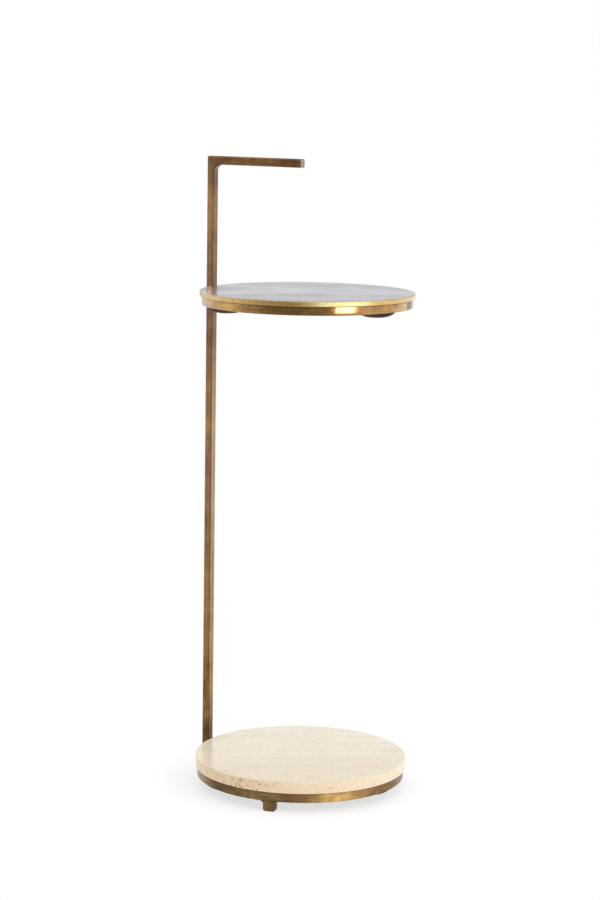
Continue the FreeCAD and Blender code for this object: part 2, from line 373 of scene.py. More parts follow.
@dataclass(frozen=True)
class BrassFinish:
    """Antique brass: brushed metal under lacquer, browned unevenly, darker along its edges, with painted
    shade and highlights.
    """

    name: str
    dark: Colour
    middle: Colour
    light: Colour
    roughness: float
    axis: Vector
    clouds_at: Vector = Vector(ORIGIN)
    cloud_scale: float = 30.0
    blotch_scale: float = 110.0
    blotch_share: float = 0.35
    brush_scale: float = 900.0
    brush_share: float = 0.45
    brush_depth: float = 0.02 * MILLIMETRE
    brush_squeeze: float = 0.05
    ring_squeeze: float = 0.006
    lacquer: float = 1.0
    lacquer_ior: float = 1.5
    lacquer_roughness: float = 0.1
    bare_to: float = 0.0
    bare_fade: float = 0.08
    bare_share: float = 0.2
    # painted shade by height
    painted_shades_by_height: tuple[Stretch, ...] = ()
    # painted light and shade by angle round the axis
    painted_light_by_angle: tuple[Stretch, ...] = ()
    edge: float = 1.2 * MILLIMETRE
    edge_brown: Colour = srgb(176, 160, 142)
    edge_dulling: float = 0.25
    crown: float = 0.0
    crown_reach: float = 5.0 * MILLIMETRE
    crown_foot: float = 0.0
    # painted shade along the top of a ring, under what rests on it
    seam: float = 0.0
    seam_fade: Pair = (1.7 * MILLIMETRE, 0.3 * MILLIMETRE)
    painted_seam_shade: Colour = srgb(34, 24, 16)
    # painted shade on faces that turn away from straight outwards
    painted_flank_shade: Colour | None = None
    heated_at: float | None = None
    heated_count: float = 3.0
    heated: Colour = srgb(238, 250, 255)
    inner: Pair = (0.6, 0.95)
    # painted highlight on the faces towards the disc axis, and at mid height on them
    inward_highlight: float = 0.0
    inward_highlight_colour: Colour = srgb(226, 218, 204)
    mid_highlight: Stretch | None = None
    mid_highlight_share: float = 0.38
    glancing: Colour = srgb(255, 255, 255)
    anisotropy: float = 0.0
    anisotropy_turn: float = 0.25

    def along_grain(self, graph: Graph, grain: Grain) -> Socket:
        """Coordinates that are squeezed along the brushing.

        Args:
            graph: The material's graph.
            grain: The way that the piece was brushed.

        Returns:
            The coordinates to feed to a noise.
        """
        point = place(graph)
        if grain is Grain.UPRIGHT:
            return graph.scaled(point, (1.0, 1.0, self.brush_squeeze))
        if grain is Grain.LEVEL:
            return graph.scaled(point, (self.brush_squeeze, 1.0, 1.0))
        round_axis = graph.math("MULTIPLY", graph.angle(point, self.axis), self.ring_squeeze)
        return graph.triple(round_axis, 0.0, graph.part(point, "Z"))

    def edges(self, graph: Graph) -> Socket:
        """How far a point lies on a rounded edge, from 0 to 1."""
        eased = graph.add("ShaderNodeBevel", {"Radius": self.edge}, samples=4).outputs[0]
        return graph.fit(graph.measure("DOT_PRODUCT", facing(graph), eased), 0.995, 0.9)

    def flanks(self, graph: Graph) -> Socket:
        """How far a face turns away from straight outwards, from 0 to 1: the mask of the painted flank
        shade.
        """
        out = graph.vector("NORMALIZE", graph.outwards(place(graph), self.axis))
        return graph.fit(graph.measure("DOT_PRODUCT", out, facing(graph)), 0.85, 0.4)

    def heat(self, graph: Graph, colour: Socket, angle: Socket) -> Socket:
        """Tints the ring where the feet were welded on.

        Args:
            graph: The material's graph.
            colour: The colour to start from.
            angle: The point's angle round the axis.

        Returns:
            The tinted colour.
        """
        away = graph.math("MULTIPLY", graph.math("SUBTRACT", angle, self.heated_at), self.heated_count)
        near_foot = graph.fit(graph.math("COSINE", away), 0.78, 0.97)
        return graph.mix(near_foot, colour, self.heated, "MULTIPLY")

    def paint_inward_highlight(self, graph: Graph, colour: Socket, height: Socket) -> Socket:
        """Paints a highlight on the faces towards the disc axis, strongest at mid height.

        Args:
            graph: The material's graph.
            colour: The colour to start from.
            height: The point's height.

        Returns:
            The worn colour.
        """
        inwards = graph.part(facing(graph), "X")
        # painted highlight: paler on faces that turn towards the disc axis
        colour = graph.mix(graph.fit(inwards, *self.inner, 0.0, self.inward_highlight), colour, self.inward_highlight_colour)
        if self.mid_highlight is None:
            return colour
        # painted highlight, strongest at mid height on those faces
        painted_highlight = graph.math("MULTIPLY", graph.fit(inwards, *self.inner), graph.near(height, self.mid_highlight))
        return graph.mix(graph.fit(painted_highlight, 0.0, 1.0, 0.0, self.mid_highlight_share), colour, self.mid_highlight.colour)

    def aged_and_shaded(self, graph: Graph, metal: Socket, clouds: Socket, edges: Socket) -> Socket:
        """Browns the clean metal, darkens its edges, and paints shade and highlights on it.

        Args:
            graph: The material's graph.
            metal: The colour of the clean metal.
            clouds: The noise that makes the painted seam shade uneven.
            edges: How far a point lies on a rounded edge.

        Returns:
            The aged colour, with its painted shade and highlights.
        """
        point = place(graph)
        height = graph.part(point, "Z")
        angle = graph.angle(point, self.axis)
        # painted shade by height
        colour = graph.toned(metal, height, self.painted_shades_by_height)
        # painted light and shade by angle round the axis
        colour = graph.toned(colour, angle, self.painted_light_by_angle)
        if self.heated_at is not None:
            colour = self.heat(graph, colour, angle)
        colour = graph.mix(edges, colour, self.edge_brown, "MULTIPLY")
        # painted shade along the seam, where the plate or the stone overhangs the ring
        if self.seam:
            start, end = self.seam_fade
            near = graph.fit(height, self.seam - start, self.seam - end)
            uneven = graph.fit(clouds, 0.4, 0.65, 0.25, 0.9)
            colour = graph.mix(graph.math("MULTIPLY", near, uneven), colour, self.painted_seam_shade)
        # painted highlight on the faces towards the disc axis
        if self.inward_highlight:
            colour = self.paint_inward_highlight(graph, colour, height)
        # painted shade on the flanks
        if self.painted_flank_shade:
            colour = graph.mix(self.flanks(graph), colour, self.painted_flank_shade, "MULTIPLY")
        return colour

    def crowned(self, graph: Graph, height: Socket) -> Socket:
        """A normal that rounds the lower part of a bar.

        Args:
            graph: The material's graph.
            height: The point's height.

        Returns:
            The normal.
        """
        low = graph.fit(height, self.crown_foot, self.crown_foot + self.crown_reach, 1.0, 0.0)
        drop = graph.math("SUBTRACT", 1.0, graph.math("MULTIPLY", low, low))
        return graph.bump(drop, self.crown)

    def material(self, grain: Grain) -> bpy.types.Material:
        """Makes the finish for one way of brushing.

        Args:
            grain: The way that the piece was brushed.

        Returns:
            The material.
        """
        material, graph, surface = shader(f"{self.name}_{grain.value}")
        point = place(graph)
        height = graph.part(point, "Z")
        brushed = graph.noise(self.along_grain(graph, grain), self.brush_scale, 4.0, 0.6)
        shifted = graph.vector("ADD", point, self.clouds_at)
        clouds = graph.noise(shifted, self.cloud_scale, 4.0, 0.6)
        blotches = graph.noise(shifted, self.blotch_scale, 4.0, 0.65)
        browned = graph.math("MULTIPLY", clouds, 1.0 - self.blotch_share)
        browned = graph.plus(browned, blotches, self.blotch_share)
        streaked = graph.plus(browned, graph.math("SUBTRACT", brushed, 0.5), self.brush_share)
        metal = graph.ramp(streaked, ((0.3, self.dark), (0.5, self.middle), (0.7, self.light)))
        edges = self.edges(graph)
        rough = graph.fit(streaked, 0.3, 0.7, self.roughness + 0.06, self.roughness - 0.05)
        crowned = self.crowned(graph, height) if self.crown else None
        feeds = {
            "Base Color": self.aged_and_shaded(graph, metal, clouds, edges),
            "Roughness": graph.plus(rough, edges, self.edge_dulling),
            "Metallic": 1.0,
            "Normal": graph.bump(brushed, self.brush_depth, over=crowned),
            "Specular Tint": self.glancing,
            "Coat Weight": self.lacquer,
            "Coat Roughness": self.lacquer_roughness,
            "Coat IOR": self.lacquer_ior,
        }
        graph.wire(surface, feeds)
        if crowned is not None:
            graph.wire(surface, {"Coat Normal": crowned})
        if self.bare_to:
            bare = self.bare_share * self.lacquer
            left = graph.fit(height, self.bare_to, self.bare_to + self.bare_fade, bare, self.lacquer)
            graph.wire(surface, {"Coat Weight": left})
        if self.anisotropy:
            round_axis = graph.add("ShaderNodeTangent", direction_type="RADIAL", axis="Z").outputs[0]
            shine = {"Anisotropic": self.anisotropy, "Anisotropic Rotation": self.anisotropy_turn}
            graph.wire(surface, {"Tangent": round_axis, **shine})
        return material


@dataclass(frozen=True)
class PlateFinish:
    """A cast plate: a grey polished face, a brass edge and underside, and a painted highlight on the edge.
    """

    name: str
    face_dark: Colour
    face_light: Colour
    edge_dark: Colour
    edge_light: Colour
    under: Colour
    axis: Vector
    # painted highlight on part of the edge
    painted_highlight: Stretch
    face_level: float
    under_level: float
    face_fade: float = 0.2 * MILLIMETRE
    under_fade: Pair = (0.6 * MILLIMETRE, 0.2 * MILLIMETRE)
    under_share: float = 0.8
    painted_highlight_share: float = 0.85
    smear_share: float = 0.3
    grit_share: float = 0.3
    relief_depth: float = 0.05 * MILLIMETRE
    lacquer_ior: float = 1.85
    lacquer_roughness: float = 0.3

    def material(self) -> bpy.types.Material:
        """Makes the finish.

        Returns:
            The material.
        """
        material, graph, surface = shader(self.name)
        point = place(graph)
        height = graph.part(point, "Z")
        drawn_out = graph.scaled(point, (0.55, 1.0, 1.0), -VEIN_TURN)
        clouds = graph.noise(drawn_out, 14.0, 3.0, 0.55)
        smears = graph.noise(drawn_out, 70.0, 4.0, 0.6)
        mottle = graph.math("MULTIPLY", clouds, 1.0 - self.smear_share)
        mottle = graph.plus(mottle, smears, self.smear_share)
        face = graph.ramp(mottle, ((0.35, self.face_dark), (0.65, self.face_light)))
        cast = graph.noise(point, 160.0, 4.0, 0.6)
        edge = graph.ramp(cast, ((0.3, self.edge_dark), (0.7, self.edge_light)))
        # painted highlight on part of the edge, in place of a lamp's glint
        near = graph.near(graph.angle(point, self.axis), self.painted_highlight)
        edge = graph.mix(graph.fit(near, 0.0, 1.0, 0.0, self.painted_highlight_share), edge, self.painted_highlight.colour)
        start, end = (self.under_level + fade for fade in self.under_fade)
        edge = graph.mix(graph.fit(height, start, end, 0.0, self.under_share), edge, self.under)
        is_face = graph.fit(height, self.face_level - self.face_fade, self.face_level)
        face_rough = graph.fit(mottle, 0.35, 0.65, 0.3, 0.22)
        edge_rough = graph.fit(cast, 0.3, 0.7, 0.5, 0.4)
        relief = graph.plus(cast, graph.noise(point, 700.0, 2.0, 0.6), self.grit_share)
        feeds = {
            "Base Color": graph.mix(is_face, edge, face),
            "Roughness": graph.between(is_face, edge_rough, face_rough),
            "Metallic": 1.0,
            "Normal": graph.bump(relief, self.relief_depth),
            "Coat Weight": graph.fit(is_face, 0.0, 1.0, 1.0, 0.0),
            "Coat Roughness": self.lacquer_roughness,
            "Coat IOR": self.lacquer_ior,
        }
        graph.wire(surface, feeds)
        return material


@dataclass(frozen=True)
class TravertineFinish:
    """Polished travertine: pale streaks, rosier in one half, warmer at its sawn side, brown in its pits."""

    name: str
    pale: Colour
    band: Colour
    streak: Colour
    blush: Colour
    sawn: Colour
    stain: Colour
    fleck: Colour
    pit: Colour
    centre: Vector
    bottom: float
    top: float
    radius: float
    rim: float
    # painted light and shade round the sawn side
    painted_light_by_angle: tuple[Stretch, ...]
    rosy: Stretch
    rosy_turn: float = math.radians(52.5)
    fine_share: float = 0.35
    sawn_depths: Pair = (0.3 * MILLIMETRE, 1.4 * MILLIMETRE)
    pit_depths: Pair = (0.08 * MILLIMETRE, 0.5 * MILLIMETRE)
    relief_depth: float = 0.05 * MILLIMETRE
    polish: float = 0.38

    def depth(self, graph: Graph) -> tuple[Socket, Socket]:
        """Measures where a point lies in the slab.

        Args:
            graph: The material's graph.

        Returns:
            How far the point is below the top, and how far inside every outer surface.
        """
        point = place(graph)
        height = graph.part(point, "Z")
        below = graph.math("SUBTRACT", self.top, height)
        above = graph.math("SUBTRACT", height, self.bottom)
        out = graph.measure("LENGTH", graph.outwards(point, self.centre))
        inside = graph.math("SUBTRACT", self.radius, out)
        level = graph.math("SUBTRACT", self.rim, graph.math("MINIMUM", below, above))
        round_it = graph.math("SUBTRACT", self.rim, inside)
        up_past = graph.math("MAXIMUM", level, 0.0)
        out_past = graph.math("MAXIMUM", round_it, 0.0)
        past = graph.measure("LENGTH", graph.triple(up_past, out_past, 0.0))
        flush = graph.math("MINIMUM", graph.math("MAXIMUM", level, round_it), 0.0)
        return below, graph.math("SUBTRACT", graph.math("SUBTRACT", self.rim, past), flush)

    def veined(self, graph: Graph, along: float, across: float, detail: float) -> Socket:
        """Noise that is drawn out along the veins, by its scales along and across them."""
        veins = graph.scaled(place(graph), (along, across, across), -VEIN_TURN)
        return graph.noise(veins, 1.0, detail, 0.6)

    def face(self, graph: Graph, fine: Socket) -> Socket:
        """The colour of the polished face.

        Args:
            graph: The material's graph.
            fine: The fine veins.

        Returns:
            The colour.
        """
        point = place(graph)
        bands = graph.math("MULTIPLY", self.veined(graph, 9.0, 70.0, 4.0), 1.0 - self.fine_share)
        mixed = graph.plus(bands, fine, self.fine_share)
        polished = graph.ramp(mixed, ((0.35, self.band), (0.55, self.pale), (0.68, self.streak)))
        clouds = graph.noise(point, 22.0, 3.0, 0.5)
        blushed = graph.mix(graph.fit(clouds, 0.45, 0.7, 0.0, 0.7), polished, self.blush)
        across = graph.part(graph.scaled(point, (1.0, 1.0, 1.0), -self.rosy_turn), "Y")
        return graph.toned(blushed, across, (self.rosy,))

    def side(self, graph: Graph) -> Socket:
        """The colour of the sawn side, with painted light and shade round it.

        Args:
            graph: The material's graph.

        Returns:
            The colour.
        """
        point = place(graph)
        stains = graph.noise(graph.scaled(point, (260.0, 260.0, 420.0)), 1.0, 4.0, 0.65)
        rough_side = graph.ramp(stains, ((0.25, self.stain), (0.5, self.sawn), (0.72, self.fleck)))
        # painted light and shade by angle round the axis
        return graph.toned(rough_side, graph.angle(point, self.centre), self.painted_light_by_angle)

    def material(self) -> bpy.types.Material:
        """Makes the finish.

        Returns:
            The material.
        """
        material, graph, surface = shader(self.name)
        fine = self.veined(graph, 45.0, 420.0, 3.0)
        specks = self.veined(graph, 500.0, 900.0, 2.0)
        below, depth = self.depth(graph)
        sawn = graph.fit(below, *self.sawn_depths, 0.0, 0.85)
        whole = graph.mix(sawn, self.face(graph, fine), self.side(graph))
        speckled = graph.mix(graph.fit(specks, 0.61, 0.73, 0.0, 0.4), whole, self.pit)
        hollow = graph.fit(depth, *self.pit_depths, 0.0, 0.9)
        feeds = {
            "Base Color": graph.mix(hollow, speckled, self.pit),
            "Roughness": graph.fit(hollow, 0.0, 0.5, 0.16, 0.7),
            "Normal": graph.bump(fine, self.relief_depth, 0.5),
            "Specular IOR Level": self.polish,
        }
        graph.wire(surface, feeds)
        return material


@dataclass(frozen=True)
class PlainFinish:
    """Moulded plastic or plated metal, with a fine uneven surface."""

    name: str
    dark: Colour
    light: Colour
    roughness: float
    metallic: float
    grit: float
    shine: float = 0.5
    grit_depth: float = 0.04 * MILLIMETRE

    def material(self) -> bpy.types.Material:
        """Makes the finish.

        Returns:
            The material.
        """
        material, graph, surface = shader(self.name)
        point = place(graph)
        clouds = graph.noise(point, 140.0, 3.0, 0.6)
        grit = graph.noise(point, self.grit, 2.0, 0.6)
        feeds = {
            "Base Color": graph.ramp(clouds, ((0.3, self.dark), (0.7, self.light))),
            "Roughness": graph.fit(clouds, 0.3, 0.7, self.roughness - 0.05, self.roughness + 0.08),
            "Metallic": self.metallic,
            "Normal": graph.bump(grit, self.grit_depth, 0.7),
            "Specular IOR Level": self.shine,
        }
        graph.wire(surface, feeds)
        return material


def dress(nodes: list[str], material: bpy.types.Material) -> None:
    """Gives CAD nodes a material.

    Args:
        nodes: The nodes' names.
        material: Their finish.
    """
    for name in nodes:
        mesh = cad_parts[name].data
        mesh.materials.clear()
        mesh.materials.append(material)
        LOG.info("dressed %s in %s", name, material.name)


def numbered(name: str, count: int) -> list[str]:
    """The names of a repeated node."""
    return [f"{name}_{number + 1}" for number in range(count)]


def add_piece(name: str, mesh: bpy.types.Mesh) -> bpy.types.Object:
    """Puts a mesh in the scene.

    Args:
        name: The piece's name.
        mesh: Its mesh.

    Returns:
        The new object.
    """
    piece = bpy.data.objects.new(name, mesh)
    bpy.context.scene.collection.objects.link(piece)
    return piece


def lathe(profile: list[Pair], axis: Vector, steps: int) -> bpy.types.Mesh:
    """Turns a profile into a closed solid.

    Args:
        profile: Radius and height of each point, from the underside up.
        axis: A point on the turning axis.
        steps: The number of faces round the axis.

    Returns:
        The mesh, with its two ends closed.
    """
    solid = bmesh.new()
    turns = [math.tau * step / steps for step in range(steps)]
    loops = []
    for radius, height in profile:
        level = [(radius * math.cos(turn), radius * math.sin(turn)) for turn in turns]
        points = [(axis.x + along, axis.y + across, height) for along, across in level]
        loops.append([solid.verts.new(point) for point in points])
    for lower, upper in zip(loops, loops[1:]):
        for step in range(steps):
            after = (step + 1) % steps
            solid.faces.new((lower[step], lower[after], upper[after], upper[step]))
    solid.faces.new(loops[0][::-1])
    solid.faces.new(loops[-1])
    mesh = bpy.data.meshes.new("turned")
    solid.to_mesh(mesh)
    solid.free()
    return mesh


@dataclass
class WeldedFrame:
    """The welded bars: post, handle arm, rings, lugs and feet."""

    foot_count: int = 3
    bead_radius: float = 1.5 * MILLIMETRE
    bead_pitch: float = 1.3 * MILLIMETRE
    bead_flat: float = 0.75
    bead_swell: Pair = (0.85, 1.1)
    bead_sharp: float = math.radians(50)
    bead_seed: int = 7

    def upright_brass(self, axis: Vector) -> BrassFinish:
        """The post's finish: painted shade low, under the top and at the elbow, a painted highlight
        mid-height.

        Args:
            axis: A point on the disc axis.

        Returns:
            The finish.
        """
        bright = srgb(116, 77, 37), srgb(170, 122, 60), srgb(211, 162, 89)
        # painted shade: darker towards the floor, near the plate and at the elbow, for the darker
        # surroundings mirrored there
        painted_shades_by_height = (
            Stretch(0.0, 0.055, 0.118, srgb(160, 154, 152)),
            Stretch(0.56, 0.04, 0.09, srgb(222, 216, 214)),
            Stretch(0.74, 0.01, 0.05, srgb(192, 187, 186)),
        )
        return BrassFinish(
            "antique_brass",
            *bright,
            roughness=0.22,
            axis=axis,
            clouds_at=Vector((1.55, 2.09, 1.73)),
            lacquer_ior=1.7,
            painted_shades_by_height=painted_shades_by_height,
            edge_brown=srgb(158, 143, 120),
            # painted highlight on the inner face, strongest at mid height
            inward_highlight=0.07,
            mid_highlight=Stretch(0.38, 0.06, 0.14, srgb(246, 211, 167)),
            bare_to=0.11,
        )

    def arm_brass(self, axis: Vector) -> BrassFinish:
        """The handle arm's finish: deeper, with a painted highlight on its end.

        Args:
            axis: A point on the disc axis.

        Returns:
            The finish.
        """
        deep = srgb(98, 66, 40), srgb(142, 101, 62), srgb(175, 131, 84)
        return BrassFinish(
            "arm_brass",
            *deep,
            roughness=0.22,
            axis=axis,
            clouds_at=Vector((3.0, 1.63, 1.5)),
            lacquer=0.4,
            # painted highlight on the faces that turn towards +X, the arm's end
            inward_highlight=0.75,
            glancing=srgb(172, 150, 120),
        )

    def ring_brass(self, axis: Vector) -> BrassFinish:
        """The top ring's finish: smooth, with a crowned face and painted shade along its seam.

        Args:
            axis: A point on the disc axis.

        Returns:
            The finish.
        """
        rolled = srgb(108, 71, 34), srgb(160, 118, 56), srgb(200, 164, 84)
        ring_low, ring_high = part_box("top_ring")
        return BrassFinish(
            "ring_brass",
            *rolled,
            roughness=0.14,
            axis=axis,
            lacquer=0.85,
            # painted shade under the plate's overhang
            seam=ring_high.z,
            brush_depth=0.01 * MILLIMETRE,
            crown=0.3 * MILLIMETRE,
            crown_foot=ring_low.z,
        )

    def base_brass(self, axis: Vector) -> BrassFinish:
        """The finish of the base ring and the feet: dull, tinted by the heat of the welds, with painted
        shade.

        Args:
            axis: A point on the disc axis.

        Returns:
            The finish.
        """
        dull = srgb(90, 67, 41), srgb(127, 97, 58), srgb(160, 133, 79)
        foot_low, foot_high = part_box("foot_1")
        foot = (foot_low + foot_high) / 2 - axis
        return BrassFinish(
            "base_brass",
            *dull,
            roughness=0.42,
            axis=axis,
            lacquer=0.2,
            edge_brown=srgb(222, 212, 200),
            anisotropy=0.7,
            # painted shade under the stone
            seam=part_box("base_ring")[1].z,
            # painted shade on the flanks of the feet and the ring
            painted_flank_shade=srgb(118, 112, 104),
            # painted shade on the front left of the ring, where the stone and the floor shade it
            painted_light_by_angle=(Stretch.turned(-104, 8, 20, srgb(205, 204, 208)),),
            heated_at=math.atan2(foot.y, foot.x),
        )

    def weld(self, lug: str, finish: bpy.types.Material) -> None:
        """Runs a rippled weld bead down each side of a lug.

        Args:
            lug: The lug's node.
            finish: The bead's material.
        """
        low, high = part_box(lug)
        middle = (low.x + high.x) / 2
        seams = bmesh.new()
        for side in (low.y, high.y):
            ends = [seams.verts.new((middle, side, level)) for level in (low.z, high.z)]
            seams.edges.new(ends)
        mesh = bpy.data.meshes.new("seams")
        seams.to_mesh(mesh)
        seams.free()
        bead = add_piece(f"{lug}_welds", mesh)
        sizes = {"Bead Radius": self.bead_radius, "Pitch": self.bead_pitch, "Flatness": self.bead_flat}
        recipe = Recipe("weld_bead", {**sizes, "Seed": self.bead_seed, "Material": finish})
        given = recipe.given
        seam = recipe.add("GeometryNodeMeshToCurve", {0: given["Geometry"]}).outputs[0]
        feeds = {"Curve": seam, "Length": given["Pitch"]}
        stops = recipe.add("GeometryNodeCurveToPoints", feeds, mode="LENGTH").outputs[0]
        feeds = {"Radius": given["Bead Radius"], "Subdivisions": 3}
        ball = recipe.add("GeometryNodeMeshIcoSphere", feeds).outputs[0]
        swell = recipe.draw(*self.bead_swell)
        ripples = recipe.copies(stops, ball, {"Scale": recipe.triple(swell, swell, given["Flatness"])})
        feeds = {"Mesh 2": ripples}
        bead_run = recipe.add("GeometryNodeMeshBoolean", feeds, operation="UNION", solver="MANIFOLD")
        recipe.finish(bead_run.outputs[0])
        recipe.run(bead, self.bead_sharp)
        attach(bead, BODY)

    def build(self, axis: Vector) -> None:
        """Finishes each bar, brushed along its length, and adds the welds of both lugs.

        Args:
            axis: A point on the disc axis.
        """
        upright = self.upright_brass(axis).material(Grain.UPRIGHT)
        base = self.base_brass(axis)
        dress(["post", "top_lug", "base_lug"], upright)
        dress(["handle_arm"], self.arm_brass(axis).material(Grain.LEVEL))
        dress(["top_ring"], self.ring_brass(axis).material(Grain.ROUND))
        dress(["base_ring"], base.material(Grain.ROUND))
        dress(numbered("foot", self.foot_count), base.material(Grain.UPRIGHT))
        for lug in ("top_lug", "base_lug"):
            self.weld(lug, upright)


@dataclass
class Top:
    """The cast plate."""

    rim: float = 0.35 * MILLIMETRE

    def build(self, axis: Vector) -> None:
        """Finishes the plate: grey on its face, brass at its edge and underneath.

        Args:
            axis: A point on the disc axis.
        """
        plate = PlateFinish(
            "cast_plate",
            face_dark=srgb(150, 145, 153),
            face_light=srgb(198, 195, 201),
            edge_dark=srgb(186, 143, 48),
            edge_light=srgb(212, 176, 76),
            under=srgb(132, 108, 70),
            axis=axis,
            # painted highlight on the edge, in place of a lamp's glint
            painted_highlight=Stretch.turned(-44, 8, 22, srgb(250, 233, 156)),
            face_level=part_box("top_plate")[1].z - self.rim,
            under_level=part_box("top_ring")[1].z,
        )
        dress(["top_plate"], plate.material())


@dataclass
class Base:
    """The travertine disc, with its pits and the bores for its inserts."""

    rim: float = 1.2 * MILLIMETRE
    rim_steps: int = 12
    steps: int = 240
    sharp: float = math.radians(11)
    pit_small: float = 0.32 * MILLIMETRE
    pit_large: float = 1.15 * MILLIMETRE
    pit_rarity: float = 2.4
    pit_spacing: float = 0.9 * MILLIMETRE
    pit_density: float = 420000.0
    pit_stretch: float = 1.5
    pit_lift: float = 0.3
    pit_wobble: float = 1.4
    cluster_reach: Pair = (3.0 * MILLIMETRE, 22.0 * MILLIMETRE)
    cluster_share: float = 0.9
    bond: float = 0.1 * MILLIMETRE
    bore_count: int = 3
    bore_steps: int = 48
    seed: int = 11

    def profile(self, low: Vector, high: Vector) -> list[Pair]:
        """The slab's outline with eased edges.

        Args:
            low: The slab's lowest corner.
            high: The slab's highest corner.

        Returns:
            Radius and height of each point, from the underside up.
        """
        radius = (high.x - low.x) / 2 - self.rim
        turns = [math.radians(90) * step / self.rim_steps for step in range(self.rim_steps + 1)]
        eased = [(radius + self.rim * math.sin(turn), self.rim * (1 - math.cos(turn))) for turn in turns]
        inner = radius - self.rim
        lower = [(inner, low.z)] + [(out, low.z + up) for out, up in eased]
        upper = [(out, high.z - up) for out, up in reversed(eased)] + [(inner, high.z)]
        return lower + upper

    def finish(self, low: Vector, high: Vector) -> bpy.types.Material:
        """Makes the stone's finish.

        Args:
            low: The slab's lowest corner.
            high: The slab's highest corner.

        Returns:
            The material.
        """
        stone = TravertineFinish(
            "travertine",
            pale=srgb(245, 235, 213),
            band=srgb(236, 221, 196),
            streak=srgb(249, 242, 224),
            blush=srgb(243, 226, 204),
            sawn=srgb(245, 220, 184),
            stain=srgb(236, 206, 164),
            fleck=srgb(250, 232, 204),
            pit=srgb(150, 118, 84),
            centre=(low + high) / 2,
            bottom=low.z,
            top=high.z,
            radius=(high.x - low.x) / 2,
            rim=self.rim,
            # painted light on the right of the sawn side, painted shade at its front left
            painted_light_by_angle=(
                Stretch.turned(-118, 24, 50, srgb(248, 242, 237)),
                Stretch.turned(18, 28, 58, srgb(256, 263, 273)),
            ),
            rosy=Stretch(low.y, 0.085, 0.12, srgb(249, 246, 242)),
        )
        return stone.material()

    def clusters(self, centre: Vector, radius: float, top: float) -> dict[str, Vector]:
        """The places where the pits gather, on the side and on the top.

        Args:
            centre: The slab's middle.
            radius: The slab's radius.
            top: The height of its face.

        Returns:
            Each place, by the name of the tree's input.
        """
        side = centre + Vector((-0.06, -0.998, 0.0)) * radius
        front = centre + Vector((0.2, -0.84, 0.0)) * radius
        right = centre + Vector((0.55, -0.07, 0.0)) * radius
        rear = centre + Vector((-0.62, 0.52, 0.0)) * radius
        for place_on_top in (front, right, rear):
            place_on_top.z = top
        return {"Side Pits": side, "Front Pits": front, "Right Pits": right, "Rear Pits": rear}

    def build(self) -> None:
        """Turns the slab, cuts its pits and bores, and puts it in the stone's place."""
        low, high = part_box("base_stone")
        centre = (low + high) / 2
        radius = (high.x - low.x) / 2
        slab = add_piece("travertine_disc", lathe(self.profile(low, high), centre, self.steps))
        insert_low, insert_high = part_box("stone_inserts")
        clamp_low, clamp_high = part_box("base_clamp_disc_1")
        bore_at = (clamp_low + clamp_high) / 2 - centre
        clusters = self.clusters(centre, radius, high.z)
        sizes = {
            "Vein Turn": VEIN_TURN,
            "Smallest Pit": self.pit_small,
            "Largest Pit": self.pit_large,
            "Pit Spacing": self.pit_spacing,
            "Pit Density": self.pit_density,
            "Pit Stretch": self.pit_stretch,
            "Bore Radius": insert_high.x - (clamp_low.x + clamp_high.x) / 2 + self.bond,
            "Bore Depth": insert_high.z - insert_low.z,
            "Bore Circle": bore_at.xy.length,
            "Bore Turn": Vector((0.0, 0.0, math.atan2(bore_at.y, bore_at.x))),
            "Bore Place": Vector((centre.x, centre.y, low.z)),
            "Seed": self.seed,
            "Material": self.finish(low, high),
        }
        recipe = Recipe("pitted_stone", {**sizes, **clusters})
        feeds = {"Mesh 1": recipe.given["Geometry"], "Mesh 2": self.pits(recipe, list(clusters))}
        cut = recipe.add("GeometryNodeMeshBoolean", feeds, operation="DIFFERENCE", solver="MANIFOLD")
        recipe.wire(cut, {"Mesh 2": self.bores(recipe)})
        recipe.finish(cut.outputs[0])
        recipe.run(slab, self.sharp)
        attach(slab, BODY)
        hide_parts("base_stone")

    def crowding(self, recipe: Recipe, clusters: list[str]) -> Socket:
        """How thick the pits stand, from 0 to 1.

        Args:
            recipe: The stone's tree.
            clusters: The names of the inputs that place the clusters.

        Returns:
            The share of the greatest density.
        """
        position = recipe.add("GeometryNodeInputPosition").outputs[0]
        turn = recipe.math("MULTIPLY", recipe.given["Vein Turn"], -1.0)
        bands = recipe.noise(recipe.scaled(position, (14.0, 70.0, 70.0), turn), 1.0, 3.0, 0.6)
        share = recipe.fit(bands, 0.5, 0.75, 0.008, 0.11)
        for name in clusters:
            away = recipe.vector("SUBTRACT", position, recipe.given[name])
            reach = recipe.measure("LENGTH", recipe.scaled(away, (0.45, 1.0, 1.0), turn))
            gathered = recipe.fit(reach, *self.cluster_reach, self.cluster_share, 0.0)
            share = recipe.math("MAXIMUM", share, gathered)
        up = recipe.part(recipe.add("GeometryNodeInputNormal").outputs[0], "Z")
        return recipe.math("MULTIPLY", share, recipe.math("GREATER_THAN", up, -0.1))

    def hollow(self, recipe: Recipe) -> Socket:
        """A ragged ball, the shape of one pit.

        Args:
            recipe: The stone's tree.

        Returns:
            The ball, a metre in radius before it is scaled.
        """
        ball = recipe.add("GeometryNodeMeshIcoSphere", {"Radius": 1.0, "Subdivisions": 2}).outputs[0]
        where = recipe.add("GeometryNodeInputPosition").outputs[0]
        feeds = {"Vector": where, "Scale": self.pit_wobble, "Detail": 1.0}
        wobble = recipe.add("ShaderNodeTexNoise", feeds).outputs["Color"]
        offset = recipe.vector("SUBTRACT", wobble, (0.5, 0.5, 0.5))
        return recipe.add("GeometryNodeSetPosition", {"Geometry": ball, "Offset": offset}).outputs[0]

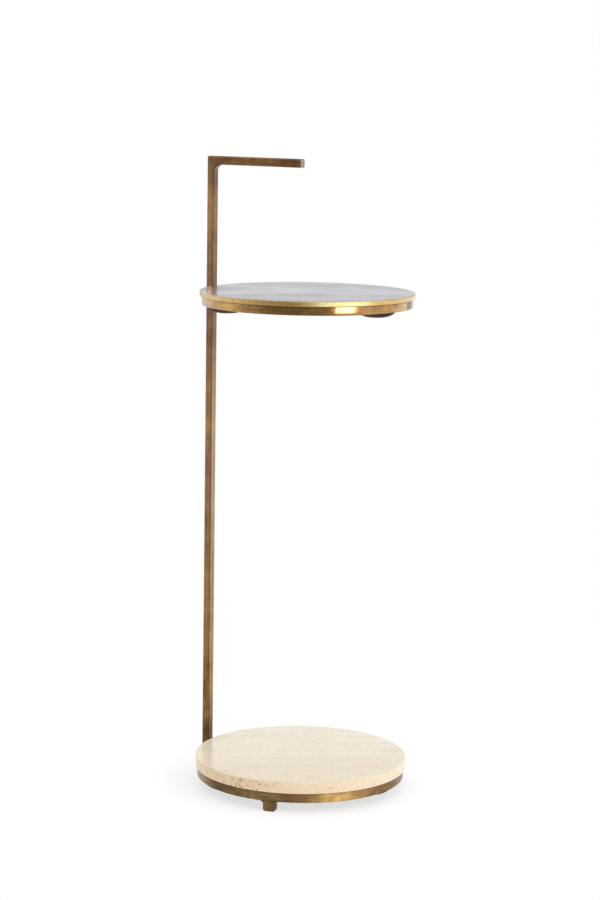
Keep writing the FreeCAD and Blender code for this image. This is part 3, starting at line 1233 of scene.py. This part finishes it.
    def pits(self, recipe: Recipe, clusters: list[str]) -> Socket:
        """Scatters the pits over the stone, drawn out along its veins.

        Args:
            recipe: The stone's tree.
            clusters: The names of the inputs that place the clusters.

        Returns:
            The pits as instances.
        """
        given = recipe.given
        feeds = {
            "Mesh": given["Geometry"],
            "Distance Min": given["Pit Spacing"],
            "Density Max": given["Pit Density"],
            "Density Factor": self.crowding(recipe, clusters),
            "Seed": given["Seed"],
        }
        scatter = recipe.add("GeometryNodeDistributePointsOnFaces", feeds, distribute_method="POISSON")
        spots = scatter.outputs
        spread = recipe.math("SUBTRACT", given["Largest Pit"], given["Smallest Pit"])
        draw = recipe.math("POWER", recipe.draw(0.0, 1.0), self.pit_rarity)
        size = recipe.math("ADD", recipe.math("MULTIPLY", draw, spread), given["Smallest Pit"])
        feeds = {0: spots["Normal"], "Scale": size}
        lift = recipe.add("ShaderNodeVectorMath", feeds, operation="SCALE").outputs[0]
        raised = recipe.vector("MULTIPLY", lift, (self.pit_lift, self.pit_lift, self.pit_lift))
        feeds = {"Geometry": spots["Points"], "Offset": raised}
        points = recipe.add("GeometryNodeSetPosition", feeds).outputs[0]
        along = recipe.math("COSINE", given["Vein Turn"])
        vein = recipe.triple(along, recipe.math("SINE", given["Vein Turn"]), 0.0)
        laid = recipe.add("FunctionNodeAlignRotationToVector", {"Vector": vein}, axis="X").outputs[0]
        feeds = {"Rotation": laid, "Vector": spots["Normal"]}
        stood = recipe.add("FunctionNodeAlignRotationToVector", feeds, axis="Z").outputs[0]
        scale = recipe.triple(recipe.math("MULTIPLY", size, given["Pit Stretch"]), size, size)
        return recipe.copies(points, self.hollow(recipe), {"Rotation": stood, "Scale": scale})

    def bores(self, recipe: Recipe) -> Socket:
        """Sets a drill at the place of each insert.

        Args:
            recipe: The stone's tree.

        Returns:
            The drills as instances.
        """
        given = recipe.given
        feeds = {"Vertices": self.bore_count, "Radius": given["Bore Circle"]}
        ring = recipe.add("GeometryNodeMeshCircle", feeds).outputs[0]
        feeds = {"Geometry": ring, "Translation": given["Bore Place"], "Rotation": given["Bore Turn"]}
        centres = recipe.add("GeometryNodeTransform", feeds).outputs[0]
        depth = recipe.math("MULTIPLY", given["Bore Depth"], 2.0)
        feeds = {"Vertices": self.bore_steps, "Radius": given["Bore Radius"], "Depth": depth}
        return recipe.copies(centres, recipe.add("GeometryNodeMeshCylinder", feeds).outputs[0])


@dataclass
class Fixings:
    """Clamp discs, screws, washers, sleeves and inserts."""

    clamp_count: int = 3

    def build(self) -> None:
        """Finishes the small pieces."""
        plastic = PlainFinish(
            "black_plastic",
            dark=srgb(36, 23, 19),
            light=srgb(52, 35, 29),
            roughness=0.48,
            metallic=0.0,
            grit=1500.0,
            shine=0.12,
        )
        zinc = PlainFinish(
            "bright_zinc",
            dark=srgb(186, 188, 192),
            light=srgb(214, 215, 218),
            roughness=0.32,
            metallic=1.0,
            grit=1100.0,
        )
        brass = PlainFinish(
            "turned_brass",
            dark=srgb(206, 172, 104),
            light=srgb(228, 198, 132),
            roughness=0.28,
            metallic=1.0,
            grit=1200.0,
        )
        discs = numbered("top_clamp_disc", self.clamp_count) + numbered("base_clamp_disc", self.clamp_count)
        plated = ["top_screws", "top_washers", "base_screws", "base_washers", "stone_spacers"]
        dress(discs, plastic.material())
        dress(plated, zinc.material())
        dress(["stone_inserts"], brass.material())


@dataclass(frozen=True)
class Viewpoint:
    """The camera: where it stands round the disc axis, and how it is held."""

    azimuth: float = math.radians(29.48)
    side_step: float = 0.00673
    distance: float = 2.89107
    height: float = 0.85353
    pitch: float = math.radians(8.876)
    yaw: float = math.radians(-0.252)
    roll: float = math.radians(0.87)
    lens: float = 100.11
    nearest: float = 0.1

    def build(self, axis: Vector) -> None:
        """Stands the camera in front of the table.

        Args:
            axis: A point on the disc axis.
        """
        data = bpy.data.cameras.new("camera")
        data.lens = self.lens
        data.clip_start = self.nearest
        camera = bpy.data.objects.new("camera", data)
        bpy.context.scene.collection.objects.link(camera)
        held = (
            Matrix.Rotation(self.azimuth, 4, "Z")
            @ Matrix.Translation((self.side_step, -self.distance, self.height))
            @ Matrix.Rotation(-self.yaw, 4, "Z")
            @ Matrix.Rotation(math.radians(90) - self.pitch, 4, "X")
            @ Matrix.Rotation(self.roll, 4, "Z")
        )
        camera.matrix_world = Matrix.Translation((axis.x, axis.y, 0.0)) @ held
        bpy.context.scene.camera = camera


def way(azimuth: float) -> Vector:
    """The level direction at an angle from the front."""
    return Vector((math.sin(azimuth), -math.cos(azimuth), 0.0))


@dataclass(frozen=True)
class Glint:
    """A soft lamp that only some nodes mirror: azimuth in degrees, sizes in metres, power in watts."""

    name: str
    nodes: tuple[str, ...]
    azimuth: float
    height: float
    size: Pair
    watts: float
    distance: float = 1.7


@dataclass(frozen=True)
class Studio:
    """A white room with a pale floor and a soft box.

    Only metal mirrors its dark card and its side card, and only some nodes mirror each glint.
    """

    dark_azimuth: float = math.radians(9.5)
    dark_level: float = 0.28
    mirror_level: float = 1.0
    low_share: float = 0.8
    side_azimuth: float = math.radians(150.5)
    side_level: float = 0.66
    room_level: float = 0.9
    glints: tuple[Glint, ...] = (
        Glint("strip", TOP_RING, azimuth=70.0, height=1.08, size=(0.62, 1.6), watts=33.0),
        Glint("low_strip", LOW_METAL, azimuth=69.0, height=0.75, size=(0.6, 1.6), watts=28.0),
        Glint("panel", RINGS, azimuth=122.0, height=0.28, size=(2.3, 0.56), watts=2.9, distance=1.3),
        Glint("edge_panel", PLATE, azimuth=135.0, height=0.28, size=(3.2, 0.56), watts=4.8, distance=1.3),
        Glint("left_fill", TOP_METAL, azimuth=-80.0, height=0.28, size=(2.4, 0.56), watts=1.0),
        Glint("left_wash", TOP_METAL, azimuth=-63.0, height=0.28, size=(2.9, 0.56), watts=1.0),
        Glint("low_fill", LOW_METAL, azimuth=80.0, height=0.75, size=(2.4, 1.6), watts=38.0),
        Glint("edge_fill", PLATE, azimuth=67.0, height=0.28, size=(1.6, 0.56), watts=3.7),
        Glint("post_glow", POST, azimuth=-32.8, height=1.46, size=(0.9, 0.6), watts=11.0, distance=5.07),
    )
    box_size: Pair = (1.4, 1.4)
    box_watts: float = 8.5
    box_at: Triple = (1.6, -0.05, 0.8)
    box_target: Triple = (0.0, 0.0, 0.1)
    floor_radius: float = 0.62
    floor_reach: float = 0.5
    floor_steps: int = 96
    floor_fade: Pair = (0.25, 0.02)
    floor_grey: float = 0.38
    floor_lift: float = 0.66
    floor_bounce: float = 0.8
    floor_roughness: float = 0.9
    floor_shine: float = 0.1

    def world(self) -> None:
        """Lights the room evenly, shows white to the camera and the cards to metal."""
        world = bpy.data.worlds.new("studio")
        world.use_nodes = True
        world.cycles.sampling_method = "NONE"
        bpy.context.scene.world = world
        graph = Graph(world.node_tree)
        heading = graph.add("ShaderNodeTexCoord").outputs["Generated"]
        height = graph.part(heading, "Z")
        towards = graph.measure("DOT_PRODUCT", heading, way(self.dark_azimuth))
        card = graph.math("MULTIPLY", graph.fit(towards, 0.5, 1.0), graph.fit(height, 0.4, 0.1))
        mirrored = graph.fit(card, 0.0, 1.0, self.mirror_level, self.dark_level)
        mirrored = graph.math("MULTIPLY", mirrored, graph.fit(height, -0.1, 0.3, self.low_share, 1.0))
        beside = graph.measure("DOT_PRODUCT", heading, way(self.side_azimuth))
        screen = graph.math("MULTIPLY", graph.fit(beside, 0.7, 0.95), graph.fit(height, 0.2, 0.0))
        screen = graph.math("MULTIPLY", screen, graph.fit(height, -0.2, -0.08, 0.3, 1.0))
        mirrored = graph.math("MULTIPLY", mirrored, graph.fit(screen, 0.0, 1.0, 1.0, self.side_level))
        path = graph.add("ShaderNodeLightPath").outputs
        level = graph.between(path["Is Diffuse Ray"], mirrored, self.room_level)
        strength = graph.math("MAXIMUM", level, path["Is Camera Ray"])
        back = graph.add("ShaderNodeBackground", {"Color": WHITE, "Strength": strength})
        graph.add("ShaderNodeOutputWorld", {"Surface": back.outputs[0]})

    def lamp(self, name: str, size: Pair, watts: float, where: Vector, target: Vector) -> bpy.types.Object:
        """Hangs a soft lamp.

        Args:
            name: The lamp's name.
            size: Its width and height in metres.
            watts: Its power.
            where: Where it hangs.
            target: What it faces.

        Returns:
            The lamp, which the camera doesn't see.
        """
        data = bpy.data.lights.new(name, "AREA")
        data.shape = "RECTANGLE"
        data.size, data.size_y = size
        data.energy = watts
        lamp = bpy.data.objects.new(name, data)
        bpy.context.scene.collection.objects.link(lamp)
        lamp.location = where
        lamp.rotation_mode = "QUATERNION"
        lamp.rotation_quaternion = (target - where).to_track_quat("-Z", "Y")
        lamp.visible_camera = False
        return lamp

    def hang(self, glint: Glint) -> None:
        """Hangs a lamp that only some nodes mirror.

        Args:
            glint: The lamp's place, size and power, and its nodes.
        """
        target = Vector((0.0, 0.0, glint.height))
        where = way(math.radians(glint.azimuth)) * glint.distance + target
        lamp = self.lamp(glint.name, glint.size, glint.watts, where, target)
        lamp.visible_diffuse = False
        lit = bpy.data.collections.new(f"{glint.name}_lights")
        for name in glint.nodes:
            lit.objects.link(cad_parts[name])
        lamp.light_linking.receiver_collection = lit

    def floor(self) -> None:
        """Lays a pale sweep, most of it behind the table, that fades into the white room."""
        mesh = bpy.data.meshes.new("floor")
        disc = bmesh.new()
        bmesh.ops.create_circle(disc, cap_ends=True, segments=self.floor_steps, radius=self.floor_radius)
        middle = way(self.dark_azimuth) * (self.floor_reach - self.floor_radius)
        bmesh.ops.translate(disc, verts=disc.verts, vec=middle)
        disc.to_mesh(mesh)
        disc.free()
        floor = add_piece("floor", mesh)
        material, graph, surface = shader("pale_floor")
        out = graph.measure("DISTANCE", place(graph), middle)
        start, end = self.floor_fade
        clear = graph.fit(out, self.floor_radius - start, self.floor_radius - end, 1.0, 0.0)
        above = graph.math("SUBTRACT", 1.0, graph.add("ShaderNodeNewGeometry").outputs["Backfacing"])
        path = graph.add("ShaderNodeLightPath").outputs
        seen = graph.math("MAXIMUM", path["Is Camera Ray"], path["Is Glossy Ray"])
        seen = graph.math("MAXIMUM", seen, path["Is Transmission Ray"])
        feeds = {
            "Base Color": graph.fit(seen, 0.0, 1.0, self.floor_bounce, self.floor_grey),
            "Roughness": self.floor_roughness,
            "Specular IOR Level": self.floor_shine,
            "Emission Color": WHITE,
            "Emission Strength": graph.math("MULTIPLY", seen, self.floor_lift),
            "Alpha": graph.math("MULTIPLY", clear, above),
        }
        graph.wire(surface, feeds)
        mesh.materials.append(material)

    def build(self) -> None:
        """Sets up the room, the lamps and the floor."""
        bpy.context.scene.view_settings.view_transform = "Standard"
        self.world()
        self.floor()
        for glint in self.glints:
            self.hang(glint)
        box_at = Vector(self.box_at)
        box = self.lamp("soft_box", self.box_size, self.box_watts, box_at, Vector(self.box_target))
        box.visible_glossy = False


def main() -> None:
    """Builds and dresses the table, then sets up the room and the camera."""
    logging.basicConfig(level=logging.INFO)
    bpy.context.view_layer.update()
    low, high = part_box("base_stone")
    axis = (low + high) / 2
    WeldedFrame().build(axis)
    Top().build(axis)
    Base().build()
    Fixings().build()
    Studio().build()
    Viewpoint().build(axis)


if __name__ == "__main__":
    main()
